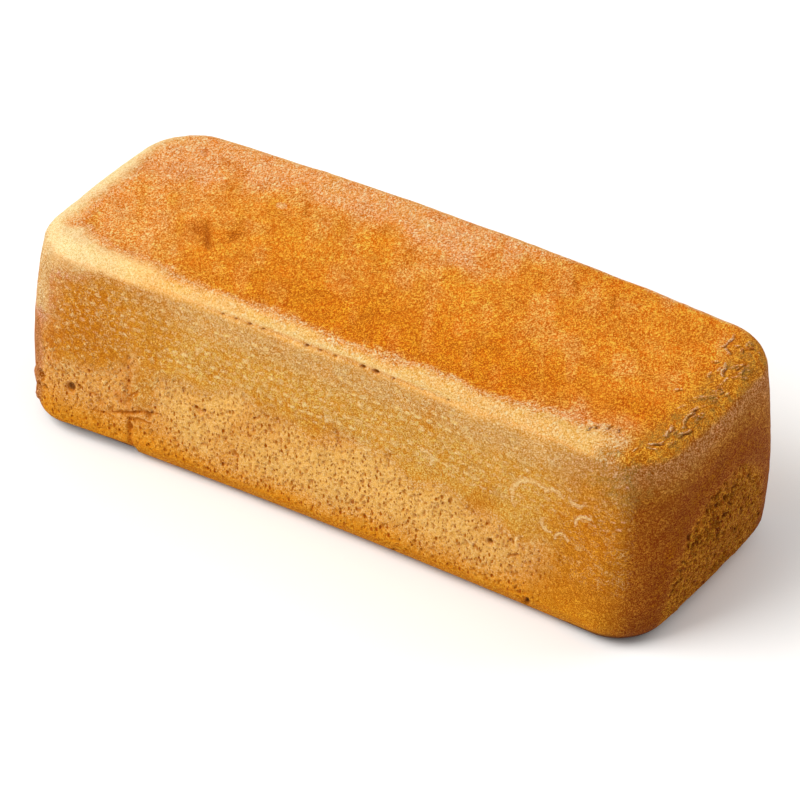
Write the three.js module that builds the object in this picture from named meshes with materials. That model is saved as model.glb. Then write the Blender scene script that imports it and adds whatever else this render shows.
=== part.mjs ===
// A tin loaf: one white sandwich loaf baked in a closed rectangular tin.
// Millimetres, +Z up. The loaf's length runs along X and the flat base rests on z = 0,
// with the origin at the middle of the base's bounding box.
import * as THREE from 'three';
import { mergeVertices } from 'three/addons/utils/BufferGeometryUtils.js';

// The straight-sided block that the tin gives the dough.
const LENGTH = 312;
const WIDTH = 116;
const HEIGHT = 97.6;

// Rounding of its edges: the rim under the lid, the edge round the base, and the four upright
// corners, which are a little rounder at the top than at the base.
const RIM_RADIUS = 8;
const BASE_RADIUS = 12;
const CORNER_RADIUS_TOP = 26;
const CORNER_RADIUS_BASE = 23.5;

// How far each wall leans outward, from mid-height to its top. The base goes the other way.
const LEAN = { left: -3.4, right: 1.2, front: -1.7, back: -2 };

// The crumb pushed the two ends outward, while the front wall sank in along its middle.
const LEFT_BULGE = 9.7;
const RIGHT_BULGE = 8;
const FRONT_WAIST = 3.7;

// The back wall bows outward and the top swells over it, both most at mid-length and at the top.
const BACK_BOW = 3;
const BACK_SWELL = 3.4;

// The lid's print on the top: slightly hollow, and lower to the right and to the back.
const TOP_HOLLOW = 0.8;
const TOP_DROP_RIGHT = 0.75;
const TOP_DROP_BACK = 0.7;

// The plan is a slight parallelogram: the back wall stands this far to the right.
const SKEW = 1.2;

// Facets across each rounded edge, and along the straight stretches between them.
const RIM_STEPS = 3;
const CORNER_STEPS = 3;
const LENGTH_STEPS = 12;
const WIDTH_STEPS = 6;
const WALL_STEPS = 6;

const HALF_LENGTH = LENGTH / 2;
const HALF_WIDTH = WIDTH / 2;
const MERGE_DISTANCE = 0.001;

const CRUST_COLOUR = 0xd89a4e;

// Grid lines between two places, the first one included and the last one left out.
function linesBetween(from, to, steps) {
  return Array.from({ length: steps }, (_, i) => THREE.MathUtils.lerp(from, to, i / steps));
}

// Grid lines along one plan axis, closer together over the rim and the upright corners.
function planLines(half, middleSteps) {
  const rim = half - RIM_RADIUS;
  const corner = half - CORNER_RADIUS_TOP;
  return [
    ...linesBetween(-half, -rim, RIM_STEPS),
    ...linesBetween(-rim, -corner, CORNER_STEPS),
    ...linesBetween(-corner, corner, middleSteps),
    ...linesBetween(corner, rim, CORNER_STEPS),
    ...linesBetween(rim, half, RIM_STEPS),
    half,
  ];
}

// Grid lines up the wall, closer together over the base edge and the rim.
function heightLines() {
  return [
    ...linesBetween(0, BASE_RADIUS, RIM_STEPS),
    ...linesBetween(BASE_RADIUS, HEIGHT - RIM_RADIUS, WALL_STEPS),
    ...linesBetween(HEIGHT - RIM_RADIUS, HEIGHT, RIM_STEPS),
    HEIGHT,
  ];
}

// The block's surface as one closed grid, with its lines where the three lists put them.
function gridBlock() {
  const lines = [planLines(HALF_LENGTH, LENGTH_STEPS), planLines(HALF_WIDTH, WIDTH_STEPS), heightLines()];
  const steps = lines.map((list) => list.length - 1);
  const evenGrid = new THREE.BoxGeometry(...steps, ...steps);
  evenGrid.deleteAttribute('normal');
  evenGrid.deleteAttribute('uv');
  const block = mergeVertices(evenGrid, MERGE_DISTANCE);
  mapVertices(block, (p) => {
    const [x, y, z] = p.toArray().map((value, axis) => lines[axis][Math.round(value + steps[axis] / 2)]);
    p.set(x, y, z);
  });
  return block;
}

function mapVertices(geometry, move) {
  const places = geometry.attributes.position;
  const p = new THREE.Vector3();
  for (let i = 0; i < places.count; i += 1) {
    p.fromBufferAttribute(places, i);
    move(p);
    places.setXYZ(i, p.x, p.y, p.z);
  }
}

// Rounds the rim and the base edge. A point nearer than one radius to the edge, on the wall or on the
// flat, slides onto the quarter circle there: the wall takes one half of the arc and the flat the other.
function roundRims(p) {
  const isUpper = p.z > HEIGHT / 2;
  const radius = isUpper ? RIM_RADIUS : BASE_RADIUS;
  const fromWall = Math.min(HALF_LENGTH - Math.abs(p.x), HALF_WIDTH - Math.abs(p.y));
  const fromFlat = isUpper ? HEIGHT - p.z : p.z;
  if (fromWall >= radius || fromFlat >= radius) return;
  const angle = (Math.PI / 4) * (1 + (fromWall - fromFlat) / radius);
  const inset = radius * (1 - Math.cos(angle));
  const drop = radius * (1 - Math.sin(angle));
  p.x *= (HALF_LENGTH - inset) / (HALF_LENGTH - fromWall);
  p.y *= (HALF_WIDTH - inset) / (HALF_WIDTH - fromWall);
  p.z = isUpper ? HEIGHT - drop : drop;
}

// Rounds the four upright corners: square rings about each corner's axis become round ones.
function roundCorners(p) {
  const radius = THREE.MathUtils.lerp(CORNER_RADIUS_BASE, CORNER_RADIUS_TOP, p.z / HEIGHT);
  const axisX = THREE.MathUtils.clamp(p.x, radius - HALF_LENGTH, HALF_LENGTH - radius);
  const axisY = THREE.MathUtils.clamp(p.y, radius - HALF_WIDTH, HALF_WIDTH - radius);
  const dx = p.x - axisX;
  const dy = p.y - axisY;
  if (dx === 0 || dy === 0) return;
  const scale = Math.max(Math.abs(dx), Math.abs(dy)) / Math.hypot(dx, dy);
  p.x = axisX + dx * scale;
  p.y = axisY + dy * scale;
}

// Leans, bows and swells the block into the baked loaf. The base stays flat.
function bake(p) {
  const u = p.x / HALF_LENGTH;
  const v = p.y / HALF_WIDTH;
  const t = p.z / HEIGHT;
  const tilt = 2 * t - 1;
  const right = (1 + u) / 2;
  const left = 1 - right;
  const back = (1 + v) / 2;
  const front = 1 - back;
  const midLength = 1 - u * u;
  const midWidth = 1 - v * v;
  const midHeight = 1 - tilt * tilt;
  const endBulge = (right * RIGHT_BULGE - left * LEFT_BULGE) * midWidth * midHeight;
  p.x += (right * LEAN.right - left * LEAN.left) * tilt + endBulge + SKEW * v;
  p.y += (back * LEAN.back - front * LEAN.front) * tilt;
  p.y += (front * FRONT_WAIST + back * BACK_BOW * t) * midLength;
  p.z += back * BACK_SWELL * midLength * t;
  p.z -= t * (TOP_DROP_RIGHT * u + TOP_DROP_BACK * v + TOP_HOLLOW * midLength * midWidth);
}

// The loaf's skin, moved so that the middle of its base is the origin.
function loafGeometry() {
  const skin = gridBlock();
  mapVertices(skin, (p) => {
    roundRims(p);
    roundCorners(p);
    bake(p);
  });
  skin.computeBoundingBox();
  const { min, max } = skin.boundingBox;
  skin.translate(-(min.x + max.x) / 2, -(min.y + max.y) / 2, -min.z);
  skin.computeVertexNormals();
  return skin;
}

const crust = new THREE.MeshStandardMaterial({ color: CRUST_COLOUR, roughness: 0.8, metalness: 0 });
const loaf = new THREE.Mesh(loafGeometry(), crust);
loaf.name = 'loaf';

const group = new THREE.Group();
group.add(loaf);

export default group;
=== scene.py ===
"""A tin loaf of white bread: the crust's real shape and its material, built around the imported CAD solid."""
import itertools
import math

import bpy
import numpy as np
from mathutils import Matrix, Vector


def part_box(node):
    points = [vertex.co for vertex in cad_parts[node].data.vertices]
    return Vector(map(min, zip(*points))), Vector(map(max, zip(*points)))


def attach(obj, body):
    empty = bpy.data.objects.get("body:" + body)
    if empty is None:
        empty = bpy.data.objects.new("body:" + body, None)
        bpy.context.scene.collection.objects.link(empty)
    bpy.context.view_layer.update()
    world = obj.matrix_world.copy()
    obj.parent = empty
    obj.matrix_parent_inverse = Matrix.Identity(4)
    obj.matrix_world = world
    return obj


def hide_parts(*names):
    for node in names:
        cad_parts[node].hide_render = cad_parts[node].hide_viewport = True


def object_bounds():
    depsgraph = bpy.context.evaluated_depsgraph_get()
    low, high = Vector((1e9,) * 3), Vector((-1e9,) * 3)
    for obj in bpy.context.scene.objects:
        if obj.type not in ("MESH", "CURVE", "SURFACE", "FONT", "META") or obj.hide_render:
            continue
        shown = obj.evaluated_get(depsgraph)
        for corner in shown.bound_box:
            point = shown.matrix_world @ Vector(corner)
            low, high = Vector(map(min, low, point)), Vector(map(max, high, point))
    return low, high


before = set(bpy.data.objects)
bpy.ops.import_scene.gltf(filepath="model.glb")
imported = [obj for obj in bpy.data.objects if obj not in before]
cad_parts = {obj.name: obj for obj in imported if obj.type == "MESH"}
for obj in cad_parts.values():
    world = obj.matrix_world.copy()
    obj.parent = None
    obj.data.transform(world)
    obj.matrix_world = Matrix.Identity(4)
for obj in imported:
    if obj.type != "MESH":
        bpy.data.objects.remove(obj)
CAD_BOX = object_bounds()

MM = 0.001

# ---- the loaf's shape, as the CAD has it, in mm

LENGTH = 312.0
WIDTH = 116.0
HEIGHT = 97.6
HALF_LENGTH = LENGTH / 2
HALF_WIDTH = WIDTH / 2
RIM_RADIUS = 8.0
BASE_RADIUS = 12.0
CORNER_RADIUS_TOP = 26.0
CORNER_RADIUS_BASE = 23.5
LEAN_LEFT = -3.4
LEAN_RIGHT = 1.2
LEAN_FRONT = -1.7
LEAN_BACK = -2.0
LEFT_BULGE = 9.7
RIGHT_BULGE = 8.0
FRONT_WAIST = 3.7
BACK_BOW = 3.0
BACK_SWELL = 3.4
TOP_HOLLOW = 0.8
TOP_DROP_RIGHT = 0.75
TOP_DROP_BACK = 0.7
SKEW = 1.2

# Distance between the mesh's grid lines. The walls' porous lower part has finer rows.
PITCH_LENGTH = 0.6
PITCH_WIDTH = 0.75
PITCH_WALL = 0.75
PITCH_POROUS = 0.55
POROUS_FROM = 6.0
POROUS_TO = 62.0

# A vertex nearer than this to the block's base or top lies on it.
TOUCHING = 1e-6

# ---- camera, floor and light

VIEW_AZIMUTH = 32.46
VIEW_ELEVATION = 36.51
VIEW_DISTANCE = 2.05
VIEW_LENS = 216.0
VIEW_FARTHEST = 50.0
SENSOR = 36.0
AIM_OFFSET = Vector((0.0045, -0.0042, -0.0092))

WORLD_COLOUR = (1.0, 0.99, 0.975, 1.0)
WORLD_STRENGTH = 0.53
FLOOR_HALF_SIZE = 6.0
FLOOR_COLOUR = (0.93, 0.93, 0.93, 1.0)
FLOOR_ROUGHNESS = 0.9
FLOOR_SPECULAR = 0.2

# Each softbox: its name, azimuth, elevation, distance and size in m, power in W and colour.
SOFTBOXES = (
    ("key", -40.0, 48.0, 2.2, 1.7, 51.0, (1.0, 0.985, 0.96)),
    ("rim", 140.0, 40.0, 2.4, 1.4, 15.0, (1.0, 0.98, 0.96)),
)


def smooth(low, high, value):
    """0 at low, 1 at high and smooth between them. low may be the larger one."""
    t = np.clip((value - low) / (high - low), 0.0, 1.0)
    return t * t * (3.0 - 2.0 * t)


def bump_of(value, centre, width):
    """A bell curve of height 1 about centre."""
    return np.exp(-(((value - centre) / width) ** 2))


def linear(red, green, blue):
    """A display colour of 0 to 255 as the linear colour that shaders use."""
    c = np.array((red, green, blue)) / 255.0
    return np.where(c <= 0.04045, c / 12.92, ((c + 0.055) / 1.055) ** 2.4)


def direction(azimuth, elevation):
    """The unit vector from the loaf at those angles. Azimuth 0 is in front and 90 to the right."""
    turn = math.radians(azimuth)
    rise = math.radians(elevation)
    return Vector((math.sin(turn) * math.cos(rise), -math.cos(turn) * math.cos(rise), math.sin(rise)))


def add_camera(centre):
    data = bpy.data.cameras.new("camera")
    data.sensor_width = SENSOR
    data.lens = VIEW_LENS
    data.clip_end = VIEW_FARTHEST
    camera = bpy.data.objects.new("camera", data)
    bpy.context.scene.collection.objects.link(camera)
    aim = centre + AIM_OFFSET
    back = direction(VIEW_AZIMUTH, VIEW_ELEVATION)
    camera.location = aim + back * VIEW_DISTANCE
    camera.rotation_euler = back.to_track_quat("Z", "Y").to_euler()
    bpy.context.scene.camera = camera


def add_softbox(centre, name, azimuth, elevation, distance, size, power, colour):
    data = bpy.data.lights.new(name, "AREA")
    data.shape = "SQUARE"
    data.size = size
    data.energy = power
    data.color = colour
    lamp = bpy.data.objects.new(name, data)
    bpy.context.scene.collection.objects.link(lamp)
    towards = direction(azimuth, elevation)
    lamp.location = centre + towards * distance
    lamp.rotation_euler = towards.to_track_quat("Z", "Y").to_euler()


def add_world():
    world = bpy.data.worlds.new("studio")
    world.use_nodes = True
    background = world.node_tree.nodes["Background"]
    background.inputs["Color"].default_value = WORLD_COLOUR
    background.inputs["Strength"].default_value = WORLD_STRENGTH
    bpy.context.scene.world = world


def add_floor():
    mesh = bpy.data.meshes.new("floor")
    signs = ((-1, -1), (1, -1), (1, 1), (-1, 1))
    corners = [(x * FLOOR_HALF_SIZE, y * FLOOR_HALF_SIZE, 0.0) for x, y in signs]
    mesh.from_pydata(corners, [], [(0, 1, 2, 3)])
    material = bpy.data.materials.new("floor")
    material.use_nodes = True
    shader = material.node_tree.nodes["Principled BSDF"]
    shader.inputs["Base Color"].default_value = FLOOR_COLOUR
    shader.inputs["Roughness"].default_value = FLOOR_ROUGHNESS
    shader.inputs["Specular IOR Level"].default_value = FLOOR_SPECULAR
    mesh.materials.append(material)
    floor = bpy.data.objects.new("floor", mesh)
    bpy.context.scene.collection.objects.link(floor)


def light_studio(centre):
    add_world()
    for softbox in SOFTBOXES:
        add_softbox(centre, *softbox)
    add_floor()


# ---- noise

# The noise repeats after this many cells. The shift keeps the cells' numbers above zero.
NOISE_CELLS = 64
NOISE_SHIFT = 1000.0


def noise(points, cell, seed):
    """Smooth noise from -1 to 1, with features about one cell across. points is N x 3, in mm."""
    table = np.random.default_rng(seed).uniform(-1.0, 1.0, (NOISE_CELLS, NOISE_CELLS, NOISE_CELLS))
    at = points / cell + NOISE_SHIFT
    low = np.floor(at).astype(int)
    part = at - low
    part = part * part * (3.0 - 2.0 * part)
    total = np.zeros(len(points))
    for corner in itertools.product((0, 1), repeat=3):
        weight = np.prod(np.where(corner, part, 1.0 - part), axis=1)
        i, j, k = ((low + corner) % NOISE_CELLS).T
        total += weight * table[i, j, k]
    return total


def rough_noise(points, cell, seed, octaves=3):
    """Noise with finer, weaker layers on top of it."""
    total = np.zeros(len(points))
    for octave in range(octaves):
        total += noise(points, cell / 2**octave, seed + octave) / 2**octave
    return total


def drift(points, cell, seeds):
    """Noise along each of the three axes, to bend a pattern with."""
    return np.stack([noise(points, cell, seed) for seed in seeds], axis=1)


# ---- the block and its baked shape


def even_lines(start, end, pitch):
    steps = max(1, round((end - start) / pitch))
    return np.linspace(start, end, steps + 1)


def height_lines():
    lower = even_lines(0.0, POROUS_FROM, PITCH_WALL)
    porous = even_lines(POROUS_FROM, POROUS_TO, PITCH_POROUS)
    upper = even_lines(POROUS_TO, HEIGHT, PITCH_WALL)
    return np.concatenate([lower[:-1], porous[:-1], upper])


def round_rims(p):
    """A point near the rim or the base edge slides onto the quarter circle there."""
    is_upper = p[:, 2] > HEIGHT / 2
    radius = np.where(is_upper, RIM_RADIUS, BASE_RADIUS)
    from_wall = np.minimum(HALF_LENGTH - np.abs(p[:, 0]), HALF_WIDTH - np.abs(p[:, 1]))
    from_flat = np.where(is_upper, HEIGHT - p[:, 2], p[:, 2])
    near = (from_wall < radius) & (from_flat < radius)
    angle = math.pi / 4 * (1.0 + (from_wall - from_flat) / radius)
    inset = radius * (1.0 - np.cos(angle))
    drop = radius * (1.0 - np.sin(angle))
    out = p.copy()
    out[near, 0] *= ((HALF_LENGTH - inset) / (HALF_LENGTH - from_wall))[near]
    out[near, 1] *= ((HALF_WIDTH - inset) / (HALF_WIDTH - from_wall))[near]
    out[near, 2] = np.where(is_upper, HEIGHT - drop, drop)[near]
    return out


def round_corners(p):
    """Square rings about each upright corner's axis become round ones."""
    radius = CORNER_RADIUS_BASE + (CORNER_RADIUS_TOP - CORNER_RADIUS_BASE) * p[:, 2] / HEIGHT
    axis_x = np.clip(p[:, 0], radius - HALF_LENGTH, HALF_LENGTH - radius)
    axis_y = np.clip(p[:, 1], radius - HALF_WIDTH, HALF_WIDTH - radius)
    dx = p[:, 0] - axis_x
    dy = p[:, 1] - axis_y
    length = np.hypot(dx, dy)
    scale = np.maximum(np.abs(dx), np.abs(dy)) / np.where(length > 0, length, 1.0)
    return np.stack([axis_x + dx * scale, axis_y + dy * scale, p[:, 2]], axis=1)


def bake(p):
    """Leans, bows and swells the block into the baked loaf. The base stays flat."""
    u = p[:, 0] / HALF_LENGTH
    v = p[:, 1] / HALF_WIDTH
    t = p[:, 2] / HEIGHT
    tilt = 2 * t - 1
    right = (1 + u) / 2
    left = 1 - right
    back = (1 + v) / 2
    front = 1 - back
    mid_length = 1 - u * u
    mid_width = 1 - v * v
    mid_height = 1 - tilt * tilt
    end_bulge = (right * RIGHT_BULGE - left * LEFT_BULGE) * mid_width * mid_height
    x = p[:, 0] + (right * LEAN_RIGHT - left * LEAN_LEFT) * tilt + end_bulge + SKEW * v
    y = p[:, 1] + (back * LEAN_BACK - front * LEAN_FRONT) * tilt
    y += (front * FRONT_WAIST + back * BACK_BOW * t) * mid_length
    z = p[:, 2] + back * BACK_SWELL * mid_length * t
    z -= t * (TOP_DROP_RIGHT * u + TOP_DROP_BACK * v + TOP_HOLLOW * mid_length * mid_width)
    return np.stack([x, y, z], axis=1)


# ---- the crust's grid: six sheets that share their edges

# Each sheet: the axis it faces, and 0 if it lies at that axis's low side or 1 at its high side.
SHEETS = {"front": (1, 0), "back": (1, 1), "left": (0, 0), "right": (0, 1), "base": (2, 0), "top": (2, 1)}
# The grid lines of these run clockwise seen from outside, so each face's corners are taken in turned order.
TURNED_SHEETS = ("back", "left", "base")


def other_axes(axis):
    return [other for other in range(3) if other != axis]


class Crust:
    """The block's surface as a closed grid. block holds each vertex's place on the straight block."""

    def __init__(self):
        self.lines = (
            even_lines(-HALF_LENGTH, HALF_LENGTH, PITCH_LENGTH),
            even_lines(-HALF_WIDTH, HALF_WIDTH, PITCH_WIDTH),
            height_lines(),
        )
        counts = [len(line) for line in self.lines]
        keys = []
        shapes = []
        for axis, side in SHEETS.values():
            across, up = other_axes(axis)
            index = [None, None, None]
            first, second = np.meshgrid(np.arange(counts[across]), np.arange(counts[up]), indexing="ij")
            index[across] = first
            index[up] = second
            index[axis] = np.full_like(first, side * (counts[axis] - 1))
            keys.append(((index[0] * counts[1] + index[1]) * counts[2] + index[2]).ravel())
            shapes.append(first.shape)
        unique, ids = np.unique(np.concatenate(keys), return_inverse=True)
        self.block = np.stack([
            self.lines[0][unique // (counts[1] * counts[2])],
            self.lines[1][unique // counts[2] % counts[1]],
            self.lines[2][unique % counts[2]],
        ], axis=1)
        self.sheets = {}
        start = 0
        for name, shape in zip(SHEETS, shapes):
            size = shape[0] * shape[1]
            self.sheets[name] = ids[start:start + size].reshape(shape)
            start += size
        self.place = bake(round_corners(round_rims(self.block)))

    def sheet_lines(self, name):
        """Where a sheet's grid lines are along it and up it."""
        along, up = other_axes(SHEETS[name][0])
        return self.lines[along], self.lines[up]

    def corners_of(self, name, values):
        """A value of each of a sheet's vertices, for each face's four corners, anticlockwise from outside."""
        corners = [values[:-1, :-1], values[1:, :-1], values[1:, 1:], values[:-1, 1:]]
        if name in TURNED_SHEETS:
            corners.reverse()
        return np.stack([corner.reshape(-1, *values.shape[2:]) for corner in corners], axis=1)

    def all_quads(self):
        return np.concatenate([self.corners_of(name, self.sheets[name]) for name in SHEETS])

    def normals(self):
        """Each vertex's outward direction."""
        quads = self.all_quads()
        p = self.place[quads]
        face = np.cross(p[:, 2] - p[:, 0], p[:, 3] - p[:, 1])
        total = np.zeros_like(self.place)
        for corner in range(4):
            for axis in range(3):
                total[:, axis] += np.bincount(quads[:, corner], face[:, axis], len(total))
        return total / np.linalg.norm(total, axis=1, keepdims=True)


# ---- marks in the crust

# Marks are placed on the straight block, in mm: along and up a wall, or along and across the top or the base.
# Along and across start at the block's middle, and up at its base.

# A hole's soft rim: how far out the hole reaches with it, by the radius, and how high it is, by the depth.
HOLE_REACH = 1.6
HOLE_RIM = 0.18
# A stroke's thickness at its two ends, by its middle's, and how fast its pit darkens towards its middle.
STROKE_END = 0.35
STROKE_FILL = 1.4


def nearest_on_line(at, points):
    """How far each place is from a line of points, and how far along the line that is, from 0 to 1."""
    far = np.full(len(at), np.inf)
    share = np.zeros(len(at))
    lengths = np.linalg.norm(np.diff(points, axis=0), axis=1)
    done = 0.0
    for start, end, length in zip(points[:-1], points[1:], lengths):
        along = np.clip((at - start) @ (end - start) / length**2, 0.0, 1.0)
        here = np.linalg.norm(at - start - along[:, None] * (end - start), axis=1)
        nearer = here < far
        far = np.where(nearer, here, far)
        share = np.where(nearer, (done + along * length) / lengths.sum(), share)
        done += length
    return far, share


class Marks:
    """What the marks do to each vertex: relief lifts it, in mm, and pit, pale and sear are from 0 to 1."""

    def __init__(self, crust):
        self.crust = crust
        count = len(crust.block)
        self.relief = np.zeros(count)
        self.pit = np.zeros(count)
        self.pale = np.zeros(count)
        self.sear = np.zeros(count)

    def patch(self, sheet, low, high):
        """The vertex ids of a sheet between two corners, and how far along and up each one is."""
        first, second = self.crust.sheet_lines(sheet)
        i = slice(*np.searchsorted(first, (low[0], high[0])))
        j = slice(*np.searchsorted(second, (low[1], high[1])))
        along, up = np.meshgrid(first[i], second[j], indexing="ij")
        return self.crust.sheets[sheet][i, j], along, up

    def hole(self, sheet, along, up, radius, depth, darkness=1.0, stretch=1.0, turn=0.0):
        """A round or drawn-out pit with a soft rim. stretch is its length over its width."""
        reach = radius * max(stretch, 1.0) * HOLE_REACH
        ids, at_along, at_up = self.patch(sheet, (along - reach, up - reach), (along + reach, up + reach))
        right = at_along - along
        above = at_up - up
        long_way = (right * math.cos(turn) + above * math.sin(turn)) / stretch
        short_way = above * math.cos(turn) - right * math.sin(turn)
        far = np.hypot(long_way, short_way) / radius
        self.relief[ids] -= depth * smooth(1.15, 0.35, far)
        self.relief[ids] += HOLE_RIM * depth * bump_of(far, 1.3, 0.25)
        self.pit[ids] = np.maximum(self.pit[ids], darkness * smooth(1.1, 0.5, far))

    def stroke(self, sheet, points, width, relief, pit=0.0, sear=0.0, pale=0.0):
        """A groove or ridge along a line of points, thinner towards its two ends."""
        points = np.array(points, float)
        margin = 3.0 * width
        ids, along, up = self.patch(sheet, points.min(axis=0) - margin, points.max(axis=0) + margin)
        far, share = nearest_on_line(np.stack([along.ravel(), up.ravel()], axis=1), points)
        middle = np.sqrt(np.clip(4.0 * share * (1.0 - share), 0.0, 1.0))
        taper = STROKE_END + (1.0 - STROKE_END) * middle
        shape = (np.exp(-((far / (width * taper)) ** 2)) * taper).reshape(ids.shape)
        self.relief[ids] += relief * shape
        filled = np.minimum(STROKE_FILL * shape, 1.0)
        for field, amount in ((self.pit, pit * filled), (self.pale, pale * shape), (self.sear, sear * shape)):
            field[ids] = np.maximum(field[ids], amount)

    def holes(self, sheet, rows):
        for row in rows:
            self.hole(sheet, *row)

    def strokes(self, sheet, rows):
        for row in rows:
            self.stroke(sheet, *row)


# Where pores are scattered: the low and high corner, the gap between them, their size, the chance of one
# where the crust is wholly porous, and how dark the darkest is.
PORES = {
    "front": (((-148, 8), (122, 60), 2.1, 0.48, 1.0, 0.85), ((-148, 8), (122, 54), 8.0, 0.6, 0.6, 0.7)),
    "right": (
        ((-42, 8), (36, 66), 2.1, 0.55, 1.0, 0.95),
        ((-40, 44), (14, 65), 3.6, 0.82, 0.75, 0.8),
        ((-42, 8), (36, 60), 7.0, 0.85, 0.6, 0.7),
    ),
    "back": (((-138, 8), (128, 58), 2.3, 0.48, 1.0, 0.8), ((-138, 8), (128, 56), 8.0, 0.6, 0.6, 0.7)),
    "left": (((-38, 8), (42, 60), 2.5, 0.52, 1.0, 0.7), ((-38, 8), (42, 58), 7.0, 0.85, 0.5, 0.7)),
    "base": (((-140, -44), (140, 44), 5.0, 0.75, 0.55, 0.7),),
}
# How much pores differ in size, how drawn-out and how turned they are, their depth by their radius, and how
# dark the faintest is.
PORE_SPREAD = 0.32
PORE_STRETCH = (1.1, 2.2)
PORE_TURN = (1.75, 0.4)
PORE_DEPTH = 0.9
PORE_FAINTEST = 0.3


def scatter_pores(marks, rng, sheet, porosity):
    """Scatters a sheet's pores, more of them where porosity(along, up) is nearer to 1."""
    for low, high, gap, size, chance, darkest in PORES[sheet]:
        for column in np.arange(low[0], high[0], gap):
            for row in np.arange(low[1], high[1], gap):
                along, up = np.array((column, row)) + rng.uniform(-0.5, 0.5, 2) * gap
                radius = size * math.exp(rng.normal(0.0, PORE_SPREAD))
                stretch = rng.uniform(*PORE_STRETCH)
                turn = rng.normal(*PORE_TURN)
                if rng.random() < chance * porosity(along, up):
                    darkness = rng.uniform(PORE_FAINTEST, darkest)
                    marks.hole(sheet, along, up, radius, PORE_DEPTH * radius, darkness, stretch, turn)


# A row in a table of holes has a place, radius, depth, darkness, stretch and turn. A row in a table of
# strokes has points, width and relief, then pit, sear and pale as far as they aren't 0.

# ---- the front wall

RIM_CREASE_UP = 93.6
# How far along the crease each hole in it is, and how deep.
RIM_HOLES = (
    (-55.0, 0.9), (-48.3, 1.0), (-41.3, 1.2), (-34.5, 0.9), (-12.5, 1.3), (-5.8, 1.0),
    (1.7, 0.9), (15.5, 1.5), (22.0, 1.9), (30.8, 0.9), (45.0, 0.6), (57.8, 0.8),
)
RIM_HOLE_RADIUS = 0.82
RIM_HOLE_TURN = 0.2
# The darkness and stretch of a hole under the rim.
RIM_HOLE = (0.96, 1.25)
# The crease, and the pale ridge over it.
FRONT_CREASE = (
    (((-72, 93.4), (-30, 94.0), (10, 94.0), (62, 93.6)), 0.8, -0.55, 0.0, 0.35),
    (((-80, 96.0), (-30, 96.4), (12, 96.6), (30, 95.8), (66, 96.0)), 1.3, 0.5, 0.0, 0.0, 0.7),
)
FRONT_HOLES = (
    (-129.0, 27.2, 2.7, 1.7, 0.97, 1.25, 1.3),
    (83.0, 31.2, 1.8, 1.3, 0.96, 1.1, 0.4),
    (-149.0, 25.0, 2.6, 3.4, 1.0, 1.6, 0.1),
    (-145.0, 20.5, 1.5, 1.8, 1.0, 1.9, 0.2),
    (-151.5, 18.5, 1.6, 2.2, 1.0, 1.6, 0.3),
)
LEFT_HOLES = (
    (-50.0, 14.0, 4.0, 4.6, 0.8, 2.4, 0.0),
    (-50.5, 6.5, 1.6, 1.6, 0.95, 1.2, 0.4),
)
FRONT_CRACKS = (
    (((-109, 21.5), (-104, 23.0), (-99, 24.5), (-93, 27.5), (-86, 29.0)), 0.75, -1.1, 0.8, 0.6),
    (((-101, 22.0), (-94, 23.2), (-87, 23.4)), 0.7, -0.9, 0.6, 0.6),
    (((-96, 30.0), (-90, 28.4), (-83, 30.4)), 0.6, -0.7, 0.5, 0.6),
    (((-100, 33.0), (-95.5, 36.5), (-94.5, 38.5)), 0.7, -0.9, 0.6, 0.7),
    (((-101, 53.0), (-99.5, 44.0), (-100.5, 34.0), (-98.6, 24.0)), 1.1, -0.7, 0.1, 0.45),
    (((-98.6, 22.0), (-98.0, 12.0), (-97.6, 0.5)), 1.2, -1.2, 0.25, 0.6),
    (((-107, 33.0), (-101, 31.0), (-96, 33.0)), 3.2, -0.3, 0.0, 0.5),
    (((-120, 19.0), (-111, 20.4), (-104, 19.0)), 0.7, -0.6, 0.3, 0.5),
    (((-120, 28.0), (-114, 28.6)), 0.8, -0.4, 0.2, 0.7),
    (((102.4, 0.4), (102.6, 4.6), (102.5, 9.5)), 1.3, -2.2, 1.0),
    (((35.0, 0.4), (37.0, 3.6), (39.5, 5.6)), 0.9, -1.3, 0.7, 0.5),
    (((92.4, 28.0), (95.4, 29.5), (97.4, 31.0)), 0.7, -0.9, 0.8),
)
# Each ring's middle along and up, its radius, and the angles in degrees that it starts and ends at.
FRONT_RINGS = (
    (102.5, 60.0, 10.5, 50.0, 215.0), (49.0, 60.0, 3.6, -60.0, 130.0), (112.0, 66.0, 4.5, 20.0, 160.0),
    (110.5, 52.0, 3.4, 130.0, 300.0), (117.0, 47.0, 3.0, 10.0, 200.0), (128.0, 58.0, 5.0, 60.0, 200.0),
    (99.0, 37.0, 3.6, 100.0, 250.0), (123.0, 71.0, 4.0, 190.0, 330.0), (0.8, 60.8, 1.1, 0.0, 330.0),
    (20.0, 56.0, 3.4, 240.0, 330.0), (-62.0, 68.0, 4.0, 100.0, 190.0), (74.0, 29.0, 2.4, 200.0, 320.0),
)
RING_POINTS = 12
RING_RELIEF = 0.2
RING_PALE = 0.95


def front_porosity(along, up):
    """How porous the front wall is: its lower half, short of the right end and of a plain strip."""
    top = 53.0 - 7.0 * smooth(-95.0, -120.0, along) - 10.0 * smooth(20.0, 90.0, along)
    top = top + 3.0 * np.sin(along / 9.0) + 2.0 * np.sin(along / 4.1)
    strip = smooth(9.0, 3.0, np.abs(along + 92.0 - 0.2 * (up - 40.0))) * smooth(24.0, 34.0, up)
    lower_half = smooth(6.0, 11.0, up) * smooth(top + 4.0, top - 7.0, up)
    return lower_half * smooth(124.0, 100.0, along) * (1.0 - 0.8 * strip)


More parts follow.
